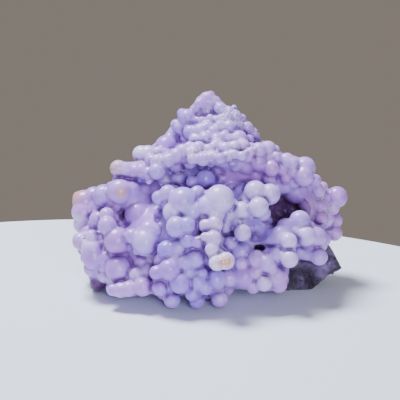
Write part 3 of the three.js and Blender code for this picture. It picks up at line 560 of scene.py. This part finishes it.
def bridge_balls(grown):
    """Smaller balls that close the gaps between neighbouring grown balls, a little behind them."""
    balls = Balls()
    for index, (centre, radius, tint) in enumerate(zip(grown.centres, grown.radii, grown.tints)):
        for other in range(index):
            apart = np.linalg.norm(grown.centres[other] - centre) / (radius + grown.radii[other])
            if BRIDGE_NEAR < apart < BRIDGE_FAR:
                smaller = min(radius, grown.radii[other]) * BRIDGE_SHARE
                between = (centre + grown.centres[other]) / 2 - TOWARD_WAY * smaller * BRIDGE_BACK
                balls.add(between, smaller, tuple(np.mean([tint, grown.tints[other]], axis=0)))
    return balls


def specimen_field(grown, bridges, cover):
    """The lattice and the distances of the whole specimen on it."""
    centres = np.array(grown.centres + cover.centres)
    low = centres.min(axis=0) - BOX_ROOM
    low[2] = -CELL / 2
    lattice = Lattice(low, centres.max(axis=0) + BOX_ROOM)
    places = lattice.whole()
    sums = lattice.sums()
    for core in CORES:
        sums += np.exp(-CORE_SHARPNESS * core_distance(places, core))
    core = np.clip(-np.log(sums) / CORE_SHARPNESS, -CORE_DEPTH, CORE_DEPTH)
    sums = np.exp(-CREASE_SHARPNESS * core)
    for centre, radius in zip(grown.centres, grown.radii):
        target = from_view(*nearest_core(centre)["middle"])
        lattice.add_stem(sums, centre, centre + (target - centre) * STEM_REACH, radius * STEM_SHARE)
    lining = lining_balls(lattice, -np.log(sums) / CREASE_SHARPNESS)
    for balls in (bridges, cover):
        for centre, radius in zip(balls.centres, balls.radii):
            lattice.add_ball(sums, centre, radius)
    body = -np.log(sums) / CREASE_SHARPNESS
    for hollow in HOLLOWS:
        body = np.maximum(body, -core_distance(places, hollow))
    sums = np.exp(-CREASE_SHARPNESS * body)
    for balls in (grown, lining):
        for centre, radius in zip(balls.centres, balls.radii):
            lattice.add_ball(sums, centre, radius)
    for piece in BROKEN_PIECES:
        lattice.add_broken(sums, piece)
    field = -np.log(sums) / CREASE_SHARPNESS
    field[:, :, 0] = CELL / 2
    for axis in range(3):
        for edge in (0, -1):
            border = [slice(None)] * 3
            border[axis] = edge
            field[tuple(border)] = np.maximum(field[tuple(border)], CELL / 2)
    return lattice, field


def part_meeting_sheets(field):
    """Fills the nearer outside corner wherever two sheets would touch along one lattice face."""
    while True:
        filled = 0
        for axis in range(3):
            faces = np.moveaxis(field, axis, 2)
            corners = [faces[:-1, :-1], faces[1:, :-1], faces[:-1, 1:], faces[1:, 1:]]
            inside = [corner < 0 for corner in corners]
            crossed = (inside[0] == inside[3]) & (inside[1] == inside[2])
            crossed &= inside[0] != inside[1]
            for i, j, k in np.argwhere(crossed):
                nodes = [(i, j), (i + 1, j), (i, j + 1), (i + 1, j + 1)]
                open_nodes = [node for node in nodes if faces[node[0], node[1], k] >= 0]
                if len(open_nodes) != 2:
                    continue
                nearest = min(open_nodes, key=lambda node: faces[node[0], node[1], k])
                faces[nearest[0], nearest[1], k] = FILLED_CORNER
                filled += 1
        if filled == 0:
            return


CORNERS = np.array([(i, j, k) for k in (0, 1) for j in (0, 1) for i in (0, 1)])
CORNER_PAIRS = [(a, b) for a in range(8) for b in range(a + 1, 8)
                if np.abs(CORNERS[a] - CORNERS[b]).sum() == 1]


def surface_net(lattice, field):
    """Points, one in each lattice cell that the surface crosses, and the four-sided faces."""
    shape = np.array(field.shape) - 1
    inside = field < 0
    count = np.zeros(shape, dtype=int)
    for i, j, k in CORNERS:
        count += inside[i:i + shape[0], j:j + shape[1], k:k + shape[2]]
    crossed = (count > 0) & (count < 8)
    cells = np.argwhere(crossed)
    number = np.full(shape, -1)
    number[crossed] = np.arange(len(cells))
    values = np.stack([field[tuple((cells + corner).T)] for corner in CORNERS], axis=1)
    total = np.zeros((len(cells), 3))
    crossings = np.zeros(len(cells))
    for a, b in CORNER_PAIRS:
        cut = (values[:, a] < 0) != (values[:, b] < 0)
        share = values[cut, a] / (values[cut, a] - values[cut, b])
        total[cut] += CORNERS[a] + share[:, None] * (CORNERS[b] - CORNERS[a])
        crossings[cut] += 1
    points = lattice.low + (cells + total / crossings[:, None]) * CELL
    faces = []
    for axis in range(3):
        sideways, onward = [(axis + step) % 3 for step in (1, 2)]
        low_end = np.take(inside, range(shape[axis]), axis=axis)
        high_end = np.take(inside, range(1, shape[axis] + 1), axis=axis)
        edges = np.argwhere(low_end != high_end)
        edges = edges[(edges[:, sideways] > 0) & (edges[:, onward] > 0)]
        edges = edges[(edges < shape).all(axis=1)]
        side = np.eye(3, dtype=int)[sideways]
        on = np.eye(3, dtype=int)[onward]
        steps = (side + on, on, 0 * on, side)
        four = np.stack([number[tuple((edges - step).T)] for step in steps], axis=1)
        outward = inside[tuple(edges.T)]
        four[~outward] = four[~outward][:, ::-1]
        faces.append(four)
    return points, np.concatenate(faces), cells


def sample(lattice, values, points):
    """Values between the lattice's nodes, at points."""
    at = np.clip((points - lattice.low) / CELL, 0, lattice.counts - JUST_PAST_NODE)
    base = at.astype(int)
    share = at - base
    result = np.zeros(len(points))
    for corner in CORNERS:
        weight = np.prod(np.where(corner == 1, share, 1 - share), axis=1)
        result += weight * values[tuple((base + corner).T)]
    return result


def slopes_at(lattice, field, points):
    """The way out of the specimen at points, as rows of unit length."""
    step = 0.5 * CELL
    rows = []
    for axis in range(3):
        shift = np.eye(3)[axis] * step
        rows.append(sample(lattice, field, points + shift) - sample(lattice, field, points - shift))
    slopes = np.stack(rows, axis=1) / (2 * step)
    return slopes / np.maximum(np.linalg.norm(slopes, axis=1), TINY)[:, None]


def settle(lattice, field, points, cells):
    """Moves the points onto the surface, keeping each inside its cell."""
    low = lattice.low + (cells + CELL_EDGE) * CELL
    high = low + (1 - 2 * CELL_EDGE) * CELL
    for _ in range(SETTLE_ROUNDS):
        distance = sample(lattice, field, points)
        step = np.clip(-distance, -SETTLE_STEP * CELL, SETTLE_STEP * CELL)
        points = points + slopes_at(lattice, field, points) * step[:, None]
        points = np.clip(points, low, high)
    points[cells[:, 2] == 0, 2] = 0
    return points


def tints_at(points, balls_sets):
    """The tints of the nearest balls, run together softly where balls meet."""
    centres = np.array([centre for balls in balls_sets for centre in balls.centres])
    radii = np.array([radius for balls in balls_sets for radius in balls.radii])
    tints = np.array([tint for balls in balls_sets for tint in balls.tints])
    result = np.zeros((len(points), tints.shape[1]))
    for start in range(0, len(points), TINT_CHUNK):
        chunk = points[start:start + TINT_CHUNK]
        distance = np.linalg.norm(chunk[:, None] - centres, axis=2) - radii
        weight = np.exp(-TINT_SHARPNESS * (distance - distance.min(axis=1)[:, None]))
        result[start:start + TINT_CHUNK] = weight @ tints / weight.sum(axis=1)[:, None]
    return result


def spot_share(points, spots):
    """How strongly spots show at each point: 1 at a spot's middle, 0 from its radius outward."""
    share = np.zeros(len(points))
    for across, up, toward, radius in spots:
        distance = np.linalg.norm(points - from_view(across, up, toward), axis=1)
        share = np.maximum(share, np.clip(SPOT_STEEPNESS * (1 - distance / (radius * MM)), 0, 1))
    return share


def chip_depths(points):
    """How deep chips cut below each point of the broken base: flat faces that meet in edges."""
    random = np.random.default_rng(CHIP_SEED)
    low, high = points.min(axis=0), points.max(axis=0)
    middles = low + random.random((CHIP_COUNT, 3)) * (high - low)
    slopes = random.normal(size=(CHIP_COUNT, 3)) * CHIP_SLOPE
    nearest = np.linalg.norm(points[:, None] - middles, axis=2).argmin(axis=1)
    depth = CHIP_DEPTH / 2 + np.einsum("ij,ij->i", points - middles[nearest], slopes[nearest])
    return np.clip(depth, 0, CHIP_DEPTH)


def mesh_from(name, points, faces):
    mesh = bpy.data.meshes.new(name)
    mesh.from_pydata(points.tolist(), [], faces.tolist())
    mesh.validate()
    mesh.shade_smooth()
    return mesh


def keep_largest_island(mesh):
    """Deletes loose crumbs, leaving the largest connected surface."""
    work = bmesh.new()
    work.from_mesh(mesh)
    unseen = set(work.verts)
    islands = []
    while unseen:
        start = unseen.pop()
        island = [start]
        for vert in island:
            for edge in vert.link_edges:
                other = edge.other_vert(vert)
                if other in unseen:
                    unseen.remove(other)
                    island.append(other)
        islands.append(island)
    islands.sort(key=len)
    for island in islands[:-1]:
        bmesh.ops.delete(work, geom=island, context="VERTS")
    work.to_mesh(mesh)
    work.free()


def add_layer(mesh, name, values):
    layer = mesh.attributes.new(name, "FLOAT", "POINT")
    layer.data.foreach_set("value", np.asarray(values, dtype=np.float32))


class MaterialNodes:
    """Makes the nodes of one material. Each method returns its node's result."""

    def __init__(self, material):
        self.nodes = material.node_tree.nodes
        self.links = material.node_tree.links
        self.shader = self.nodes["Principled BSDF"]
        self.place = self.nodes.new("ShaderNodeTexCoord").outputs["Object"]

    def feed(self, socket, value):
        """Links another node's result to a socket, or sets a plain number or colour on it."""
        if isinstance(value, bpy.types.NodeSocket):
            self.links.new(value, socket)
        else:
            socket.default_value = value

    def layer(self, name):
        node = self.nodes.new("ShaderNodeAttribute")
        node.attribute_name = name
        return node.outputs["Fac"]

    def noise(self, scale, detail, roughness=0.5):
        node = self.nodes.new("ShaderNodeTexNoise")
        self.feed(node.inputs["Scale"], scale)
        self.feed(node.inputs["Detail"], detail)
        self.feed(node.inputs["Roughness"], roughness)
        self.feed(node.inputs["Vector"], self.place)
        return node.outputs["Fac"]

    def crystals(self, scale):
        node = self.nodes.new("ShaderNodeTexVoronoi")
        self.feed(node.inputs["Scale"], scale)
        self.feed(node.inputs["Vector"], self.place)
        return node.outputs["Distance"]

    def blend(self, share, first, second):
        """The first colour where the share is 0, the second where it is 1."""
        node = self.nodes.new("ShaderNodeMix")
        node.data_type = "RGBA"
        for socket, value in ((0, share), (6, first), (7, second)):
            self.feed(node.inputs[socket], value)
        return node.outputs[2]

    def spread(self, value, low, high):
        """A value turned into a share: 0 at the low end, 1 at the high end."""
        node = self.nodes.new("ShaderNodeMapRange")
        self.feed(node.inputs["From Min"], low)
        self.feed(node.inputs["From Max"], high)
        self.feed(node.inputs["Value"], value)
        return node.outputs["Result"]

    def product(self, first, second):
        node = self.nodes.new("ShaderNodeMath")
        node.operation = "MULTIPLY"
        self.feed(node.inputs[0], first)
        self.feed(node.inputs[1], second)
        return node.outputs[0]

    def bump(self, height, depth, strength, under=None):
        node = self.nodes.new("ShaderNodeBump")
        self.feed(node.inputs["Distance"], depth)
        self.feed(node.inputs["Height"], height)
        self.feed(node.inputs["Strength"], strength)
        if under is not None:
            self.feed(node.inputs["Normal"], under)
        return node.outputs["Normal"]


BLUE = (0.23, 0.19, 0.80, 1)
MAUVE = (0.46, 0.18, 0.66, 1)
PALE = (0.71, 0.60, 0.97, 1)
# Painted shade for the creases between the balls.
CREVICE_SHADE = (0.16, 0.05, 0.30, 1)
# Painted shade in the hollows.
DEEP_SHADE = (0.11, 0.04, 0.15, 1)
# White druse crystals, partly painted glints.
WHITE_FLECK_AND_GLINT = (0.93, 0.91, 0.97, 1)
TAN_STAIN = (0.58, 0.33, 0.20, 1)
DARK_ROCK = (0.02, 0.008, 0.03, 1)
GLASSY_ROCK = (0.24, 0.17, 0.36, 1)


def stone_colour(kit):
    """Lavender and mauve balls, with painted shade between them and in the hollows, white flecks that are
    partly painted glints, stains and the broken rock.
    """
    hue = kit.blend(kit.spread(kit.layer("pink"), low=-1, high=1), BLUE, MAUVE)
    mauve_cloud = kit.spread(kit.noise(scale=50, detail=2), low=0.48, high=1)
    hue = kit.blend(mauve_cloud, hue, MAUVE)
    hue = kit.blend(kit.spread(kit.layer("pale"), low=0, high=1.3), hue, PALE)
    pale_cloud = kit.spread(kit.noise(scale=110, detail=4), low=0.52, high=0.95)
    hue = kit.blend(pale_cloud, hue, PALE)
    # Painted shade: darker where the surface looks into a crease.
    hue = kit.blend(kit.spread(kit.layer("crevice_shade"), low=0.2, high=0.95), hue, CREVICE_SHADE)
    # Painted shade in the hollows and at the foot of the left side.
    hue = kit.blend(kit.layer("dark"), hue, DEEP_SHADE)
    # White flecks on the druse: the crystals' paler colour and painted glints.
    fleck_and_glint = kit.spread(kit.noise(scale=1500, detail=2, roughness=0.7), low=0.5, high=0.66)
    hue = kit.blend(kit.product(kit.layer("druse"), fleck_and_glint), hue, WHITE_FLECK_AND_GLINT)
    stain = kit.spread(kit.noise(scale=1100, detail=2, roughness=0.7), low=0.36, high=0.52)
    hue = kit.blend(kit.product(kit.layer("stain"), stain), hue, TAN_STAIN)
    glassy = kit.spread(kit.noise(scale=220, detail=5, roughness=0.6), low=0.46, high=0.76)
    rock = kit.blend(glassy, DARK_ROCK, GLASSY_ROCK)
    return kit.blend(kit.layer("rock"), hue, rock)


def stone_skin(kit):
    """Faint waves everywhere, tiny crystals on the druse and a rough break on the rock."""
    skin = kit.bump(kit.noise(scale=700, detail=4), depth=0.3 * MM, strength=0.3)
    skin = kit.bump(kit.crystals(scale=1300), 0.3 * MM, kit.layer("druse"), skin)
    rough = kit.noise(scale=450, detail=6, roughness=0.65)
    return kit.bump(rough, 1.2 * MM, kit.layer("rock"), skin)


def chalcedony_material():
    material = bpy.data.materials.new("chalcedony")
    material.use_nodes = True
    kit = MaterialNodes(material)
    inputs = kit.shader.inputs
    kit.feed(inputs["Base Color"], stone_colour(kit))
    inputs["Roughness"].default_value = 0.3
    inputs["Subsurface Weight"].default_value = 0.4
    inputs["Subsurface Radius"].default_value = (1.0, 0.8, 1.3)
    inputs["Subsurface Scale"].default_value = 1.8 * MM
    inputs["Sheen Weight"].default_value = 0.12
    inputs["Sheen Roughness"].default_value = 0.35
    inputs["Sheen Tint"].default_value = (0.85, 0.78, 1.0, 1)
    kit.feed(inputs["Normal"], stone_skin(kit))
    return material


def make_specimen():
    grown = grown_balls()
    bridges = bridge_balls(grown)
    cover = cover_balls(grown)
    lattice, field = specimen_field(grown, bridges, cover)
    part_meeting_sheets(field)
    points, faces, cells = surface_net(lattice, field)
    points = settle(lattice, field, points, cells)
    outward = slopes_at(lattice, field, points)
    # How open the space outside each point is, which sets the painted crevice shade.
    near_space = sample(lattice, field, points + outward * NEAR_REACH) / NEAR_REACH
    far_space = sample(lattice, field, points + outward * FAR_REACH)
    far_space = np.minimum(far_space, FAR_REACH) / FAR_REACH
    openness = (near_space + far_space) / 2
    tints = tints_at(points, [grown, bridges, cover])
    from_base = broken_distance(points, BROKEN_BASE)
    from_rock = np.minimum(from_base, broken_distance(points, BROKEN_UNDERSIDE))
    rock = np.clip(1 - from_rock / ROCK_EDGE, 0, 1)
    chipped = (rock > CHIPPED_FROM) & (points[:, 2] > CHIP_DEPTH)
    points[chipped] -= outward[chipped] * chip_depths(points[chipped])[:, None]
    mesh = mesh_from("chalcedony_surface", points - np.array([0, MIDDLE_Y, 0]), faces)
    # The pale layer holds the balls' paler colour and painted light on the brighter balls.
    add_layer(mesh, "pale", tints[:, 0] + PALE_AND_LIT_STRENGTH * spot_share(points, PALE_AND_LIT_SPOTS))
    add_layer(mesh, "pink", tints[:, 1])
    # Painted crevice shade.
    add_layer(mesh, "crevice_shade", np.clip(1 - openness, 0, 1))
    # Painted shade in the hollows.
    add_layer(mesh, "dark", spot_share(points, SHADE_SPOTS))
    add_layer(mesh, "rock", rock)
    # The druse layer carries the crystal bumps and the white flecks, which are partly painted glints.
    add_layer(mesh, "druse", spot_share(points, DRUSE_SPOTS))
    add_layer(mesh, "stain", spot_share(points, STAIN_SPOTS))
    keep_largest_island(mesh)
    mesh.materials.append(chalcedony_material())
    specimen = bpy.data.objects.new("chalcedony_surface", mesh)
    bpy.context.collection.objects.link(specimen)
    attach(specimen, "root")
    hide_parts("chalcedony_cluster")


# The floor is a round pale table top, whose far rim lies behind the specimen.
FLOOR_RADIUS = 200 * MM
FLOOR_MIDDLE = (-38.7 * MM, -128.5 * MM)
FLOOR_THICKNESS = 8 * MM
FLOOR_SIDES = 256
FLOOR_GRAIN = 40
FLOOR_TONES = [(0.69, 0.75, 0.84, 1), (0.73, 0.79, 0.88, 1)]

LENS = 162  # in thousandths of a metre, on a sensor as wide as the next line says
SENSOR_WIDTH = 36

# The lights: name, place, width in metres, power and colour, all aimed at one place.
LIGHTS = [
    ("sky light", (-0.25, 0.2, 0.8), 0.3, 19, (0.89, 0.92, 1.0)),
    ("front light", (0.15, -0.8, 0.3), 0.3, 5.5, (0.88, 0.92, 1.0)),
]
LIGHTS_AIM = (0, 0, 0.03)
ROOM_COLOUR = (0.23, 0.20, 0.175, 1)


def make_floor():
    bpy.ops.mesh.primitive_cylinder_add(
        vertices=FLOOR_SIDES, radius=FLOOR_RADIUS, depth=FLOOR_THICKNESS,
        location=(*FLOOR_MIDDLE, -FLOOR_THICKNESS / 2),
    )
    floor = bpy.context.object
    floor.name = "floor"
    material = bpy.data.materials.new("floor")
    material.use_nodes = True
    nodes, links = material.node_tree.nodes, material.node_tree.links
    shader = nodes["Principled BSDF"]
    grain = nodes.new("ShaderNodeTexNoise")
    grain.inputs["Scale"].default_value = FLOOR_GRAIN
    tone = nodes.new("ShaderNodeMix")
    tone.data_type = "RGBA"
    tone.inputs[6].default_value = FLOOR_TONES[0]
    tone.inputs[7].default_value = FLOOR_TONES[1]
    links.new(grain.outputs["Fac"], tone.inputs[0])
    links.new(tone.outputs[2], shader.inputs["Base Color"])
    shader.inputs["Roughness"].default_value = 0.6
    floor.data.materials.append(material)


def make_camera():
    data = bpy.data.cameras.new("camera")
    data.sensor_width = SENSOR_WIDTH
    data.lens = LENS
    camera = bpy.data.objects.new("camera", data)
    aim = Vector(ACROSS_WAY * VIEW_ACROSS + UP_WAY * VIEW_UP) - Vector((0, MIDDLE_Y, 0))
    way = Vector(TOWARD_WAY)
    camera.location = aim + way * VIEW_DISTANCE
    camera.rotation_euler = way.to_track_quat("Z", "Y").to_euler()
    bpy.context.collection.objects.link(camera)
    bpy.context.scene.camera = camera


def add_area_light(name, place, size, power, colour):
    data = bpy.data.lights.new(name, "AREA")
    data.shape = "DISK"
    data.size = size
    data.energy = power
    data.color = colour
    lamp = bpy.data.objects.new(name, data)
    lamp.location = place
    way = Vector(place) - Vector(LIGHTS_AIM)
    lamp.rotation_euler = way.to_track_quat("Z", "Y").to_euler()
    bpy.context.collection.objects.link(lamp)


def make_lights():
    for light in LIGHTS:
        add_area_light(*light)
    world = bpy.data.worlds.new("room light")
    bpy.context.scene.world = world
    world.use_nodes = True
    background = world.node_tree.nodes["Background"]
    background.inputs["Color"].default_value = ROOM_COLOUR
    background.inputs["Strength"].default_value = 1.0


make_camera()
make_lights()
make_floor()
make_specimen()
